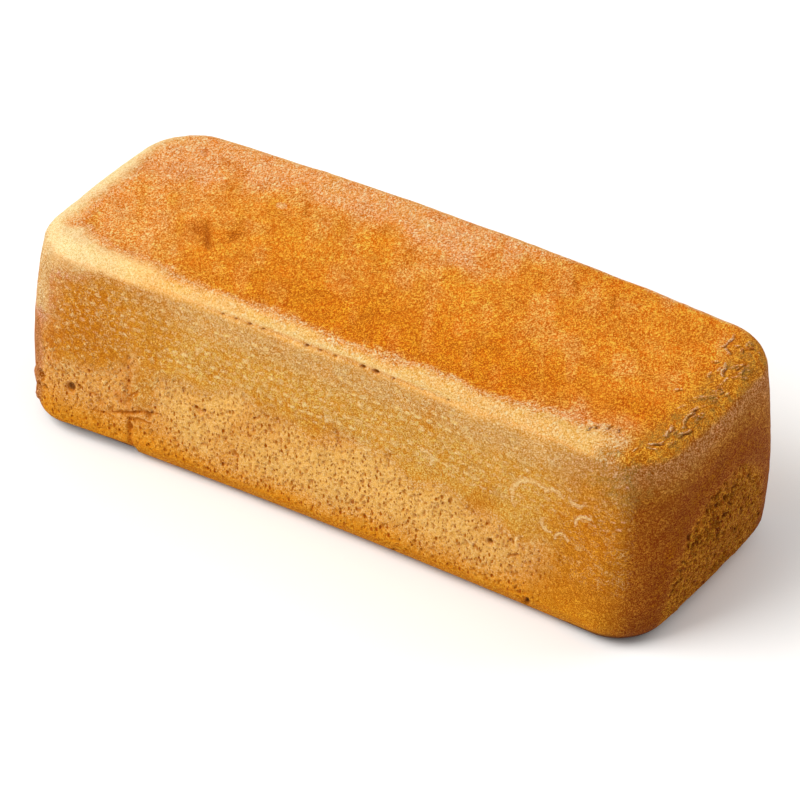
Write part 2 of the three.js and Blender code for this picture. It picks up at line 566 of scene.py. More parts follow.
def mark_front(marks, rng):
    for along, depth in RIM_HOLES:
        marks.hole("front", along, RIM_CREASE_UP, RIM_HOLE_RADIUS * depth, depth, *RIM_HOLE, RIM_HOLE_TURN)
    marks.strokes("front", FRONT_CREASE)
    scatter_pores(marks, rng, "front", front_porosity)
    marks.holes("front", FRONT_HOLES)
    marks.holes("left", LEFT_HOLES)
    marks.strokes("front", FRONT_CRACKS)


def mark_front_rings(marks):
    """Pale raised threads where the skin stuck to the tin and was drawn off."""
    for along, up, radius, start, end in FRONT_RINGS:
        turns = np.radians(np.linspace(start, end, RING_POINTS))
        points = np.stack([along + radius * np.cos(turns), up + radius * np.sin(turns)], axis=1)
        marks.stroke("front", points, 0.38 + 0.04 * radius, RING_RELIEF, pale=RING_PALE)


# ---- the right end

# The porous arch of each end wall: its middle, half its width and its top. All of them start this far up.
RIGHT_ARCH = (-3.0, 37.0, 64.0)
LEFT_ARCH = (2.0, 38.0, 58.0)
ARCH_FOOT = 8.0
ARCH_SQUARENESS = 2.6
RIGHT_HOLES = (
    (-5.0, 17.8, 1.7, 2.2, 1.0, 1.5, -0.6),
    (-12.5, 61.0, 1.6, 1.8, 1.0, 1.3, 0.7),
    (-9.0, 37.5, 1.3, 1.4, 1.0, 1.9, 1.2),
)


def end_arch(along, up, arch):
    """Below 1 inside the porous arch of an end wall, 1 on its edge and more outside it."""
    middle, half_width, top = arch
    aside = np.abs((along - middle) / half_width) ** ARCH_SQUARENESS
    above = np.clip((up - ARCH_FOOT) / (top - ARCH_FOOT), 0.0, None) ** ARCH_SQUARENESS
    return (aside + above) ** (1 / ARCH_SQUARENESS)


def arch_porosity(along, up, arch):
    return smooth(1.04, 0.9, end_arch(along, up, arch)) * smooth(6.0, 12.0, up)


def right_porosity(along, up):
    return arch_porosity(along, up, RIGHT_ARCH)


def mark_right_end(marks, rng):
    scatter_pores(marks, rng, "right", right_porosity)
    marks.holes("right", RIGHT_HOLES)


# ---- the rim over the right end

RIM_CRACKS = 64
RIM_CRACK_DARK_CHANCE = 0.45
# A crack's width, relief and pit.
DARK_CRACK = (0.42, -0.4, 1.0)
FAINT_CRACK = (0.34, -0.1, 0.5)
PLACED_CRACK = (0.46, -0.6, 1.0)
# The pale flake beside a crack: how far along and across it lies, and its width, relief, pit, sear and pale.
FLAKE_AWAY = (-0.95, 0.45)
FLAKE = (0.4, 0.12, 0.0, 0.0, 0.25)
PLACED_FLAKE_AWAY = (-1.1, 0.0)
PLACED_FLAKE = (0.5, 0.2, 0.0, 0.0, 0.45)
# Where each placed crack starts, along and across, and how far along and across it runs.
PLACED_CRACKS = (
    (119.0, -48.0, 1.5, 4.0), (125.0, -42.5, 2.0, 3.6), (121.0, -45.0, 1.0, 3.0), (130.0, -42.0, 1.0, 4.0),
    (136.0, 48.0, 3.5, -9.0), (141.0, 33.0, -1.5, 5.0), (143.0, 27.0, 4.0, -9.0), (149.0, -8.0, 1.5, -12.0),
    (147.0, -24.0, 3.0, -9.0), (151.0, -36.0, -2.0, -8.0),
)
# How far a placed crack's two inner points stand off its straight line.
CRACK_JAG = np.array((0.7, 0.0))


def mark_right_rim(marks, rng):
    """Short cracks that run along the rim over the right end, each with a pale flake beside it."""
    for _ in range(RIM_CRACKS):
        middle = np.array((HALF_LENGTH - 1.0 - abs(rng.normal(0.0, 7.0)), rng.uniform(-54.0, 52.0)))
        turn = rng.normal(1.15, 0.4)
        half = rng.uniform(0.8, 3.0) * np.array((math.cos(turn), math.sin(turn)))
        crack = np.stack([middle - half, middle + rng.normal(0.0, 0.4, 2), middle + half])
        is_dark = rng.random() < RIM_CRACK_DARK_CHANCE
        marks.stroke("top", crack, *(DARK_CRACK if is_dark else FAINT_CRACK))
        marks.stroke("top", crack + FLAKE_AWAY, *FLAKE)
    for x, y, dx, dy in PLACED_CRACKS:
        start = np.array((x, y))
        run = np.array((dx, dy))
        crack = np.stack([start, start + 0.3 * run + CRACK_JAG, start + 0.6 * run - CRACK_JAG, start + run])
        marks.stroke("top", crack, *PLACED_CRACK)
        marks.stroke("top", crack + PLACED_FLAKE_AWAY, *PLACED_FLAKE)


# ---- the top

TOP_SCARS = (
    (((-98.0, -5.0), (-93.0, -12.0), (-88.0, -19.0), (-83.0, -25.0)), 1.8, -0.8, 0.2, 1.0),
    (((-101.0, -6.0), (-95.0, -16.0), (-90.0, -22.0)), 4.2, -0.4, 0.0, 0.6),
    (((-79.0, -3.0), (-81.0, -9.0), (-80.0, -15.0)), 3.0, -0.5, 0.0, 0.75),
    (((-130.5, 43.0), (-128.5, 39.0), (-126.0, 36.5)), 1.4, -0.3, 0.0, 0.6),
    (((-104.0, 38.0), (-103.0, 34.0), (-102.0, 31.0)), 1.2, -0.3, 0.0, 0.4),
    (((-78.0, 21.5), (-75.5, 20.0), (-73.5, 19.4)), 1.5, 0.5, 0.0, 0.0, 0.6),
    (((-68.0, 30.0), (-65.5, 23.0), (-62.0, 19.0)), 1.1, -0.25, 0.0, 0.45),
    (((-10.0, 30.0), (-10.5, 20.0), (-12.0, 10.0)), 1.3, -0.22, 0.0, 0.35),
    (((12.0, 16.0), (12.3, 8.0)), 1.0, -0.2, 0.0, 0.35),
    (((57.5, 44.5), (61.0, 39.0), (66.5, 32.0)), 1.1, -0.35, 0.1, 0.6),
    (((64.0, 24.0), (67.5, 18.0), (69.5, 10.0)), 1.0, -0.2, 0.0, 0.35),
    (((79.5, 42.0), (83.0, 34.0), (83.6, 26.0)), 0.8, -0.35, 0.15, 0.5),
    (((8.0, -44.0), (12.0, -46.0)), 2.0, -0.3, 0.0, 0.5),
)

# ---- the back wall, the left end and the underside

BACK_RIM_HOLES = 15
BACK_CRACKS = (
    (((-120, 93.4), (-40, 94.0), (50, 93.6), (108, 93.4)), 0.8, -0.5, 0.0, 0.35),
    (((64, 22.0), (72, 25.0), (80, 24.0), (88, 27.0)), 0.7, -0.9, 0.6, 0.6),
)


def back_porosity(along, up):
    top = 50.0 + 5.0 * math.sin(along / 23.0) + 3.0 * math.sin(along / 7.0)
    return smooth(6.0, 11.0, up) * smooth(top + 4.0, top - 6.0, up) * smooth(132.0, 108.0, abs(along + 6.0))


def left_porosity(along, up):
    return arch_porosity(along, up, LEFT_ARCH)


def base_porosity(along, across):
    """The base is porous all over."""
    return 1.0


def mark_back_and_left(marks, rng):
    scatter_pores(marks, rng, "back", back_porosity)
    scatter_pores(marks, rng, "left", left_porosity)
    for _ in range(BACK_RIM_HOLES):
        radius = rng.uniform(0.5, 1.2)
        place = (rng.uniform(-118.0, 112.0), RIM_CREASE_UP + rng.uniform(-0.8, 0.5))
        marks.hole("back", *place, radius, radius, *RIM_HOLE)
    marks.strokes("back", BACK_CRACKS)


def mark_crust(crust):
    rng = np.random.default_rng(7)
    marks = Marks(crust)
    mark_front(marks, rng)
    mark_front_rings(marks)
    mark_right_end(marks, rng)
    mark_right_rim(marks, rng)
    marks.strokes("top", TOP_SCARS)
    mark_back_and_left(marks, rng)
    scatter_pores(marks, rng, "base", base_porosity)
    return marks


# ---- where the crust is what


class Regions:
    """Masks from 0 to 1 for every vertex of the crust, and each vertex's place on the straight block."""

    def __init__(self, crust):
        x, y, z = crust.block.T
        wander = 2.0 * noise(crust.block, 14.0, 11) + 1.0 * noise(crust.block, 5.0, 12)
        wander = wander + 1.2 * noise(crust.block, 1.8, 13)
        self.x, self.y, self.z = x, y, z
        self.is_base = z < TOUCHING
        self.from_top = HEIGHT - z
        self.from_right = HALF_LENGTH - x
        is_top = self.from_top < TOUCHING
        self.top = np.where(is_top, 1.0, smooth(5.0, 1.5, self.from_top + 0.5 * wander))
        self.front = smooth(10.0, 0.0, y + HALF_WIDTH) * ~self.is_base
        self.right = smooth(12.0, 1.0, self.from_right)
        self.left = smooth(12.0, 1.0, x + HALF_LENGTH)
        rim_share = np.where(is_top, self.rim_of_top(wander), self.rim_of_walls(wander))
        self.shoulder = rim_share * smooth(8.0, 34.0, self.from_right)
        self.porosity = front_porosity(x, z)

    def rim_of_top(self, wander):
        """The pale band on the top's front, left and back edges, widest at the front's ends and faint behind."""
        front_band = 7.0 + 9.0 * smooth(-85.0, -150.0, self.x) + 8.0 * smooth(60.0, 128.0, self.x)
        from_front = self.y + HALF_WIDTH + 1.4 * wander
        at_front = smooth(front_band + 5.5, front_band - 5.5, from_front)
        at_left = smooth(14.0, 2.0, self.x + HALF_LENGTH + 1.4 * wander)
        at_back = 0.5 * smooth(8.0, 1.0, HALF_WIDTH - self.y + wander)
        return np.maximum(np.maximum(at_front, at_left), at_back)

    def rim_of_walls(self, wander):
        """The pale band where it hangs over the walls: less so to the right, and more at the left corners."""
        less = 0.7 * smooth(60.0, 110.0, self.x) * smooth(2.0, 4.5, self.from_top)
        band = smooth(9.0, 1.5, self.from_top + 0.8 * wander) * (1.0 - less)
        corner = 0.7 * smooth(20.0, 2.0, self.from_top + wander) * smooth(-112.0, -150.0, self.x)
        return np.maximum(band, corner)


# The tin's lattice: how high its rows are, and how long a dash and its gap are together.
LATTICE_ROW = 4.5
LATTICE_DASH = 5.2


def lattice_print(crust):
    """1 on the short raised dashes that the tin's fine lattice prints on the upper half of the walls."""
    bent = crust.block + 1.3 * drift(crust.block, 9.0, (21, 22, 23))
    bent += 0.9 * drift(crust.block, 3.0, (25, 26, 27))
    on_long_wall = np.abs(crust.block[:, 1]) > HALF_WIDTH - 0.01
    along = np.where(on_long_wall, bent[:, 0], bent[:, 1])
    row = np.floor(bent[:, 2] / LATTICE_ROW)
    rows = smooth(0.45, 0.98, np.cos(2 * math.pi * (bent[:, 2] / LATTICE_ROW - row - 0.5)))
    dashes = smooth(-0.6, 0.5, np.cos(2 * math.pi * (along / LATTICE_DASH + 0.5 * (row % 2))))
    wall = smooth(54.0, 60.0, crust.block[:, 2]) * smooth(91.0, 86.0, crust.block[:, 2])
    wall = wall * smooth(HALF_LENGTH - 2.0, HALF_LENGTH - 12.0, np.abs(crust.block[:, 0]))
    faint = np.clip(0.65 + 0.9 * noise(crust.block, 7.0, 24), 0.0, 1.0)
    return wall * faint * rows * dashes


def lifted_edge(regions):
    """1 where the front's bottom edge stands clear of the tray, left of the step in it."""
    span = smooth(-152.0, -128.0, regions.x) * smooth(-97.2, -98.8, regions.x)
    return span * smooth(7.0, 1.0, regions.z) * smooth(16.0, 4.0, regions.y + HALF_WIDTH)


LATTICE_RELIEF = 0.3
LIFTED_INSET = 1.3


def shape_crust(crust, marks, regions):
    """Moves the skin in and out by its waves, its print and its marks. The base only has its marks."""
    off_base = smooth(0.0, 4.0, regions.z)
    waves = 0.45 * noise(crust.block, 38.0, 31) + 0.28 * noise(crust.block, 15.0, 32)
    fine = 0.10 * noise(crust.block, 4.0, 33) + 0.05 * noise(crust.block, 1.7, 34)
    crumbly = regions.right * smooth(20.0, 8.0, regions.from_top) * regions.top
    fine += crumbly * 0.3 * noise(crust.block * (1.0, 0.4, 1.0), 1.6, 35)
    relief = off_base * (waves + fine) + LATTICE_RELIEF * lattice_print(crust) + marks.relief
    relief = np.where(regions.is_base, np.minimum(marks.relief, 0.0), relief)
    relief = relief - LIFTED_INSET * lifted_edge(regions)
    crust.place = crust.place + crust.normals() * relief[:, None]


# ---- colour

TOP_GOLD = linear(238, 150, 46)
TOP_DEEP = linear(228, 137, 22)
# Pale crust, also used as painted sheen and painted light on the top.
TOP_PALE_AND_SHEEN = linear(253, 174, 90)
TOP_PINK = linear(243, 162, 76)
SHOULDER_CREAM = linear(252, 196, 114)
CORNER_CREAM_AND_HIGHLIGHT = linear(252, 216, 158)
SIDE_TAN = linear(223, 158, 58)
SIDE_DUSTY = linear(222, 163, 76)
SIDE_PALE = linear(229, 180, 100)
SIDE_AMBER = linear(204, 124, 8)
# Painted highlight for the front's left corner.
LEFT_CORNER_HIGHLIGHT = linear(228, 176, 98)
CORNER_TAN = linear(200, 142, 60)
BASE_BROWN = linear(213, 138, 22)
# Partly burnt crust, partly painted contact shadow under the bottom edge.
BURNT_EDGE_AND_CONTACT_SHADE = linear(84, 44, 12)
# The ends' colours are darker than their crust as painted shade, set for the shaded right end and used on both
# ends.
END_BROWN = linear(172, 98, 4)
END_ARCH = linear(160, 86, 0)
END_OCHRE = linear(188, 116, 8)
END_PINK_AND_LIGHT = linear(200, 134, 62)
END_LOW_AND_SHADE = linear(150, 80, 1)
RIM_OCHRE = linear(212, 140, 38)
SEARED = linear(190, 98, 2)
PORE = linear(172, 94, 6)
LEFT_EDGE = linear(196, 128, 58)
LATTICE_GOLD = linear(255, 218, 140)
# Painted shade: pores on the shaded right end, and the deepest pits and cracks.
END_PORE_AND_SHADE = linear(90, 36, 0)
DEEP_PIT_SHADE = linear(88, 46, 6)
THREAD = linear(250, 212, 146)
# A pore has its full colour from this pit on.
FULL_PORE = 0.8


def paint(colour, other, share):
    """Mixes another colour in, by a share from 0 to 1 for each vertex."""
    share = np.clip(share, 0.0, 1.0)[:, None]
    return colour * (1.0 - share) + other * share


def colour_top(regions, spots):
    x, y = regions.x, regions.y
    front_half = smooth(-2.0, -36.0, y + 8 * spots) * smooth(-110.0, -20.0, x)
    colour = paint(TOP_GOLD, TOP_DEEP, front_half)
    colour = paint(colour, TOP_DEEP, 0.5 * smooth(0.0, 0.9, spots) * smooth(30.0, 0.0, y))
    # Painted sheen: paler on the back of the top, left of its middle.
    colour = paint(colour, TOP_PALE_AND_SHEEN, smooth(12.0, 50.0, y + 10 * spots) * smooth(70.0, 0.0, x))
    # Painted light: paler towards the left end, where the key light falls.
    colour = paint(colour, TOP_PALE_AND_SHEEN, 0.4 * smooth(-60.0, -150.0, x))
    colour = paint(colour, TOP_PINK, 0.4 * smooth(0.1, 0.7, spots) * smooth(-40.0, 20.0, y))
    colour = paint(colour, TOP_PALE_AND_SHEEN, 0.6 * smooth(-22.0, -44.0, y) * smooth(74.0, 112.0, x + 6 * spots))
    drawn = noise(np.stack([x + 0.5 * y, 0.4 * y, regions.z], axis=1), 7.0, 47)
    colour = paint(colour, TOP_DEEP, 0.4 * smooth(0.15, 0.7, drawn))
    colour = paint(colour, TOP_PINK, 0.3 * smooth(-0.15, -0.7, drawn))
    front_right = smooth(46.0, 24.0, regions.from_right) * smooth(26.0, 10.0, y + HALF_WIDTH)
    colour = paint(colour, RIM_OCHRE, front_right)
    return paint(colour, RIM_OCHRE, smooth(24.0, 8.0, regions.from_right))


def colour_long_wall(regions, spots):
    x, z = regions.x, regions.z
    colour = paint(SIDE_TAN, SIDE_DUSTY, smooth(72.0, 88.0, z))
    colour = paint(colour, SIDE_PALE, 0.85 * regions.porosity)
    left_amber = smooth(-94.0, -122.0, x + 8 * spots) * smooth(34.0, 56.0, z) * smooth(94.0, 78.0, z)
    colour = paint(colour, SIDE_AMBER, 0.9 * left_amber)
    colour = paint(colour, SIDE_AMBER, 0.45 * smooth(-70.0, -90.0, x + 6 * spots))
    right_amber = smooth(84.0, 128.0, x + 10 * spots + 0.3 * (50.0 - z)) * smooth(96.0, 62.0, z)
    colour = paint(colour, SIDE_AMBER, 0.85 * right_amber)
    colour = paint(colour, CORNER_TAN, 0.8 * smooth(100.0, 134.0, x + 8 * spots) * smooth(58.0, 80.0, z))
    colour = paint(colour, SIDE_AMBER, 0.4 * smooth(0.2, 0.9, spots))
    # Painted highlight: the front's left corner, turned towards the key light, is paler higher up.
    corner = smooth(-133.0, -153.0, x + 5 * spots) * (regions.y < 0)
    colour = paint(colour, LEFT_CORNER_HIGHLIGHT, corner * smooth(40.0, 62.0, z + 6 * spots))
    seared_streak = bump_of(x, -139.0 + 4.0 * spots, 6.0) * smooth(30.0, 46.0, z) * smooth(92.0, 76.0, z)
    colour = paint(colour, SEARED, 0.45 * seared_streak)
    return paint(colour, BASE_BROWN, smooth(27.0, 5.0, z + 4 * spots))


def colour_end(regions, spots, arch):
    y, z = regions.y, regions.z
    out = end_arch(y + 1.5 * spots, z, arch)
    # Pinkish crust towards the top, partly painted light.
    colour = paint(END_BROWN, END_PINK_AND_LIGHT, 0.9 * smooth(70.0, 90.0, z + 4 * spots))
    # Painted light: the end is brighter towards the back.
    colour = paint(colour, END_PINK_AND_LIGHT, 0.45 * smooth(14.0, 40.0, y + 3 * spots) * smooth(34.0, 60.0, z))
    colour = paint(colour, END_ARCH, bump_of(out, 1.15, 0.18) * smooth(84.0, 72.0, z))
    colour = paint(colour, END_OCHRE, smooth(1.06, 0.92, out))
    # Darker low down outside the arch: browner crust, partly painted shade.
    return paint(colour, END_LOW_AND_SHADE, 0.85 * smooth(26.0, 6.0, z + 3 * spots) * smooth(0.96, 1.06, out))


def colour_walls(regions, spots):
    """The long walls' colour, which turns into each end's at the corners."""
    colour = colour_long_wall(regions, spots)
    right_end = colour_end(regions, spots, RIGHT_ARCH)
    colour = paint(colour, right_end, smooth(22.0, 0.0, regions.from_right + 3.0 * spots))
    at_left = smooth(12.0, 0.0, HALF_LENGTH + regions.x)
    near_front = smooth(-34.0, -50.0, regions.y + 3.0 * spots)
    left_end = paint(colour_end(regions, spots, LEFT_ARCH), RIM_OCHRE, smooth(64.0, 84.0, regions.z))
    colour = paint(colour, left_end, at_left * (1.0 - near_front))
    return paint(colour, LEFT_EDGE, at_left * near_front * smooth(62.0, 44.0, regions.z + 4.0 * spots))


def colour_marks(colour, marks, right):
    """The marks' colours over the crust's. Pores are darker on the right end, partly as painted shade, and the
    deepest pits are painted shade.
    """
    colour = paint(colour, THREAD, marks.pale)
    colour = paint(colour, SEARED, 0.95 * marks.sear)
    pore = paint(PORE, END_PORE_AND_SHADE, right)
    colour = paint(colour, pore, (0.8 + 0.15 * right) * np.minimum(marks.pit, FULL_PORE) / FULL_PORE)
    # Painted shade in the deepest pits and cracks.
    return paint(colour, DEEP_PIT_SHADE, smooth(0.9, 1.0, marks.pit))


def burnt_edge_and_contact_shade(regions):
    """1 where the bottom edge is dark, partly burnt and partly painted contact shadow: right under it, and more
    so at both ends of the front.
    """
    wave = noise(np.stack([regions.x, regions.y, 0.0 * regions.z], axis=1), 9.0, 49)
    left = smooth(-88.0, -106.0, regions.x + 4.0 * wave)
    right = smooth(108.0, 136.0, regions.x + 6.0 * wave)
    both_ends = (left + right) * smooth(30.0, -40.0, regions.y)
    strip = smooth(1.2 + 3.8 * both_ends, 0.2 + 1.3 * both_ends, regions.z + 0.7 * wave)
    return strip * (0.4 + 0.5 * both_ends)


def colour_crust(crust, marks, regions):
    spots = rough_noise(crust.block, 26.0, 41)
    small_spots = rough_noise(crust.block, 7.0, 45, 2)
    colour = colour_walls(regions, spots)
    colour = paint(colour, colour_top(regions, spots), regions.top)
    # The pale band turns whiter towards the left: partly pale crust, partly painted highlight.
    cream = paint(SHOULDER_CREAM, CORNER_CREAM_AND_HIGHLIGHT, smooth(-80.0, -140.0, regions.x))
    colour = paint(colour, cream, regions.shoulder)
    colour = paint(colour, BASE_BROWN, 0.8 * regions.is_base)
    colour *= (1.0 + 0.07 * small_spots)[:, None]
    printed = 1.0 - 0.75 * smooth(80.0, 106.0, regions.x) - 0.65 * smooth(-76.0, -104.0, regions.x)
    printed = printed * lattice_print(crust) * (1.0 - regions.right) * (1.0 - regions.top)
    colour = paint(colour, LATTICE_GOLD, printed)
    colour = colour_marks(colour, marks, regions.right)
    # Painted contact shadow, with some burnt crust, along the bottom edge.
    return paint(colour, BURNT_EDGE_AND_CONTACT_SHADE, burnt_edge_and_contact_shade(regions))


# ---- how strong the material's layers are


def crust_porosity(regions, ends):
    """1 where the material adds fine pores: low on the long walls and in the ends' arches."""
    on_ends = ends * smooth(1.04, 0.9, end_arch(regions.y, regions.z, RIGHT_ARCH))
    porous = np.maximum(regions.porosity * (1.0 - ends), on_ends)
    return porous * smooth(94.0, 86.0, regions.z) * ~regions.is_base + 0.4 * regions.is_base


def crust_grain(marks, regions, ends, porous):
    """How strong the freckles are. Porous places, the pale band and the pits have weaker ones."""
    on_top = 0.95 + 0.3 * smooth(-70.0, 60.0, regions.x - 0.8 * regions.y)
    grain = 0.72 - 0.38 * porous + (on_top - 0.72) * regions.top
    grain = grain * (1.0 - 0.35 * regions.shoulder) + 0.65 * ends * (1.0 - regions.top)
    return grain * (1.0 - 0.8 * marks.pit)


def drawn_threads(regions, ends):
    """1 where pale threads were drawn off the long walls' upper half, and lower down near both ends."""
    near_ends = np.maximum(smooth(88.0, 104.0, regions.x), smooth(-60.0, -90.0, regions.x))
    lowest = 56.0 - 24.0 * near_ends
    threads = smooth(lowest - 8.0, lowest + 4.0, regions.z) * smooth(94.0, 86.0, regions.z)
    return threads * (1.0 - regions.top) * (1.0 - ends) * (1.0 - 0.4 * smooth(80.0, 110.0, regions.x))


def torn_rim(regions):
    """1 where fine cracks run: along the rim over the right end, and on the front's corner just under it."""
    on_top = smooth(17.0, 9.0, regions.from_right) * regions.top
    on_front = smooth(30.0, 14.0, regions.from_right) * smooth(70.0, 84.0, regions.z) * regions.front
    return np.maximum(on_top, on_front)


def surface_values(marks, regions):
    ends = np.maximum(regions.right, regions.left)
    porous = crust_porosity(regions, ends)
    return {
        "grain": crust_grain(marks, regions, ends, porous),
        "porous": porous,
        "threads": drawn_threads(regions, ends),
        "torn": torn_rim(regions),
    }


# ---- the mesh

# Where each sheet lies on the map that a texture bake of this piece uses, in mm on one square.
MAP_SIZE = 452.0
MAP_PLACES = {
    "front": (2.0, 2.0), "back": (2.0, 104.0), "top": (2.0, 206.0), "base": (2.0, 328.0),
    "left": (320.0, 2.0), "right": (320.0, 110.0),
}


def map_corners(crust):
    """Each face corner's place on the bake's map. Every sheet lies flat on it, apart from the others."""
    rows = []
    for name in SHEETS:
        first, second = crust.sheet_lines(name)
        left, low = MAP_PLACES[name]
        along, up = np.meshgrid(first - first[0] + left, second - second[0] + low, indexing="ij")
        flat = np.stack([along, up], axis=-1) / MAP_SIZE
        rows.append(crust.corners_of(name, flat).reshape(-1, 2))
    return np.concatenate(rows)


def build_mesh(crust, colour, values):
    quads = crust.all_quads()
    mesh = bpy.data.meshes.new("loaf_crust")
    mesh.vertices.add(len(crust.place))
    mesh.vertices.foreach_set("co", (crust.place * MM).astype(np.float32).ravel())
    mesh.loops.add(quads.size)
    mesh.loops.foreach_set("vertex_index", quads.astype(np.int32).ravel())
    mesh.polygons.add(len(quads))
    mesh.polygons.foreach_set("loop_start", np.arange(0, quads.size, 4, dtype=np.int32))
    mesh.update(calc_edges=True)
    mesh.shade_smooth()
    rgba = np.concatenate([colour, np.ones((len(colour), 1))], axis=1).astype(np.float32)
    mesh.attributes.new("toast", "FLOAT_COLOR", "POINT").data.foreach_set("color", rgba.ravel())
    for name, value in values.items():
        mesh.attributes.new(name, "FLOAT", "POINT").data.foreach_set("value", value.astype(np.float32))
    mesh.uv_layers.new(name="OFBake").uv.foreach_set("vector", map_corners(crust).astype(np.float32).ravel())
    piece = bpy.data.objects.new("loaf_crust", mesh)
    bpy.context.scene.collection.objects.link(piece)
    return piece


def fit_to_box(place):
    """Moves the points by about 1 mm and scales them by under a hundredth, to fill the CAD solid's box."""
    low, high = (np.array(corner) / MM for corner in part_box("loaf"))
    have_low = place.min(axis=0)
    have_high = place.max(axis=0)
    return low + (place - have_low) * (high - low) / (have_high - have_low)


# ---- material


class Nodes:
    """Short calls for the nodes of one material."""

    def __init__(self, material):
        self.tree = material.node_tree

    def set(self, socket, value):
        """Links another node's output to a socket, or sets a constant on it."""
        if isinstance(value, bpy.types.NodeSocket):
            self.tree.links.new(value, socket)
        else:
            socket.default_value = value

    def add(self, kind, inputs=(), **settings):
        node = self.tree.nodes.new(kind)
        for name, value in settings.items():
            setattr(node, name, value)
        for name, value in dict(inputs).items():
            self.set(node.inputs[name], value)
        return node

    def attribute(self, name, output="Fac"):
        return self.add("ShaderNodeAttribute", attribute_name=name).outputs[output]

    def math(self, operation, first, second):
        return self.add("ShaderNodeMath", {0: first, 1: second}, operation=operation).outputs[0]

    def product(self, first, *others):
        for other in others:
            first = self.math("MULTIPLY", first, other)
        return first

    def scaled(self, vector, scale):
        inputs = {0: vector, "Scale": scale}
        return self.add("ShaderNodeVectorMath", inputs, operation="SCALE").outputs["Vector"]

    def stretched(self, vector, factors):
        inputs = {0: vector, 1: factors}
        return self.add("ShaderNodeVectorMath", inputs, operation="MULTIPLY").outputs["Vector"]

    def ramp(self, value, low, high, to_low=0.0, to_high=1.0):
        inputs = {"Value": value, "From Min": low, "From Max": high, "To Min": to_low, "To Max": to_high}
        return self.add("ShaderNodeMapRange", inputs, interpolation_type="SMOOTHSTEP").outputs["Result"]

    def noise(self, where, scale, detail, distortion=0.0):
        inputs = {"Vector": where, "Scale": scale, "Detail": detail, "Distortion": distortion}
        return self.add("ShaderNodeTexNoise", inputs | {"Roughness": 0.6}).outputs["Fac"]

    def vein(self, noise):
        """How far a noise is from its middle value, which it has along winding lines."""
        return self.math("ABSOLUTE", self.math("SUBTRACT", noise, 0.5), 0.0)

    def pores(self, where, scale, smallest, largest):
        """1 inside scattered round pores of different sizes, and 0 between them."""
        cells = self.add("ShaderNodeTexVoronoi", {"Vector": where, "Scale": scale, "Randomness": 1.0})
        size = self.add("ShaderNodeSeparateColor", {"Color": cells.outputs["Color"]}).outputs["Red"]
        edge = self.ramp(size, 0.0, 1.0, smallest, largest)
        ratio = self.math("DIVIDE", cells.outputs["Distance"], edge)
        return self.ramp(ratio, 1.0, 0.6)

    def mix(self, factor, first, second, blend="MIX"):
        node = self.add("ShaderNodeMix", data_type="RGBA", blend_type=blend, clamp_result=True)
        for index, value in ((0, factor), (6, first), (7, second)):
            self.set(node.inputs[index], value)
        return node.outputs[2]

    def tinted(self, colour, tint):
        return self.mix(1.0, colour, tint, "MULTIPLY")


# A freckle is the ground's colour times its gain. The shares say how much of the crust the freckles cover.
PALE_GAIN = (1.75, 2.9, 18.0, 1.0)
DARK_GAIN = (0.66, 0.42, 0.04, 1.0)
PALE_LIMIT = (*linear(255, 236, 186), 1.0)
PALE_SHARE = 0.3
DARK_SHARE = 0.3
PORE_TINT = (0.56, 0.28, 0.02, 1.0)
THREAD_PALE = (*linear(255, 222, 150), 1.0)
# Painted shade for the inside of the fine cracks.
CRACK_SHADE_TINT = (0.36, 0.30, 0.20, 1.0)
LIP_PALE = (*linear(246, 190, 84), 1.0)

# How freckles, pores and cracks are drawn out: an axis with a smaller factor has longer ones.
FRECKLE_STRETCH = (1.0, 0.6, 1.0)
PORE_UPRIGHT = (1.0, 1.0, 0.5)
CRACK_STRETCH = (1.0, 0.3, 1.0)

# How high or deep each layer is, in mm. The freckles' two heights are for no grain and full grain.
FRECKLE_HEIGHT = (0.4, 1.7)
PORE_DEEP = 0.35
THREAD_HIGH = 0.16
SPECK_HIGH = 0.12
CRACK_DEEP = 0.7
ROUGHNESS = (0.85, 0.55)
SPECULAR = 0.05


def under_freckles(colour, grain):
    """The ground colour that gives this one on average, once the freckles lie over it."""
    lighter = np.minimum(colour * PALE_GAIN[:3], PALE_LIMIT[:3])
    pale_gain = lighter / np.maximum(colour, 0.01)
    pale = PALE_SHARE * grain[:, None] * (pale_gain - 1.0)
    dark = DARK_SHARE * grain[:, None] * (1.0 - np.array(DARK_GAIN[:3]))
    return np.clip(colour / (1.0 + pale - dark), 0.0, 1.0)


def freckle_noise(n, where):
    """A grain of two sizes, from 0 to 1 and 0.5 on average. Its peaks are pale freckles, its troughs dark."""
    coarse = n.noise(where, 1.5, 2.0, 1.2)
    fine = n.noise(where, 3.2, 1.0, 0.4)
    return n.math("ADD", n.product(coarse, 0.48), n.product(fine, 0.52))


def pale_specks(n, where, strokes):
    """1 on scattered pale specks of bent outline."""
    bend = n.add("ShaderNodeTexNoise", {"Vector": where, "Scale": 0.7, "Detail": 1.0}).outputs["Color"]
    inputs = {0: strokes, 1: n.scaled(bend, 2.4)}
    bent = n.add("ShaderNodeVectorMath", inputs, operation="ADD").outputs["Vector"]
    return n.pores(bent, 1.15, 0.02, 0.54)


def with_freckles(n, ground, mottle, specks, grain):
    dark = n.ramp(mottle, 0.488, 0.455)
    colour = n.mix(n.product(dark, grain), ground, n.tinted(ground, DARK_GAIN))
    pale = n.ramp(mottle, 0.54, 0.562)
    light = n.math("MAXIMUM", n.product(pale, 0.85), specks)
    lighter = n.mix(1.0, n.tinted(ground, PALE_GAIN), PALE_LIMIT, "DARKEN")
    return n.mix(n.product(light, grain), colour, lighter)


